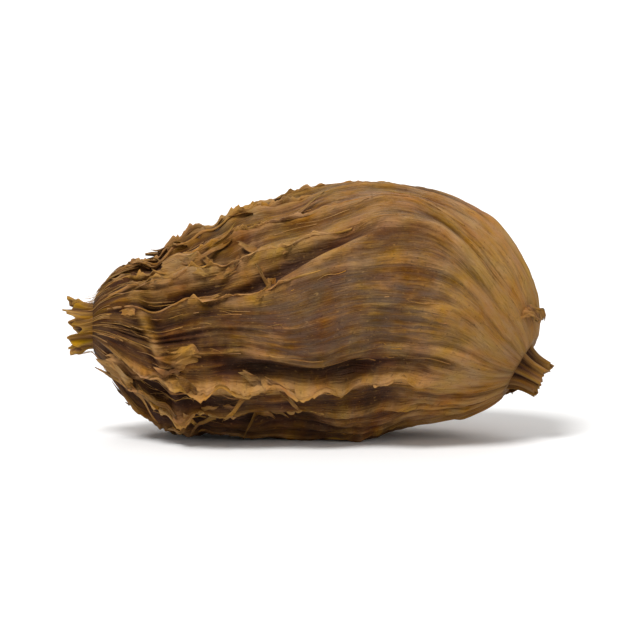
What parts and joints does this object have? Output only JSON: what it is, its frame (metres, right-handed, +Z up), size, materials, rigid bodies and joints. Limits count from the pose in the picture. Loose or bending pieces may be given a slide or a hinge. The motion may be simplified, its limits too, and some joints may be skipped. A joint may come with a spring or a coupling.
{
  "type": "black cardamom pod",
  "caption": "Dried black cardamom pod lying on its side, an egg-shaped ribbed husk with torn frills at its narrow end and a stalk scar at its round end.",
  "frame": {"origin": "middle of the small flat spot under the pod, on the surface it rests on", "axes": "+Z up; +X along the pod from its narrow end to its round stalk end; the smooth front lobe faces -Y"},
  "size_m": [0.0279, 0.0161, 0.0148],
  "materials": {
    "husk": "dry fibrous husk, dull brown with tan ribs and dark furrows"
  },
  "bodies": {
    "root": {"pod": "husk"}
  },
  "joints": []
}
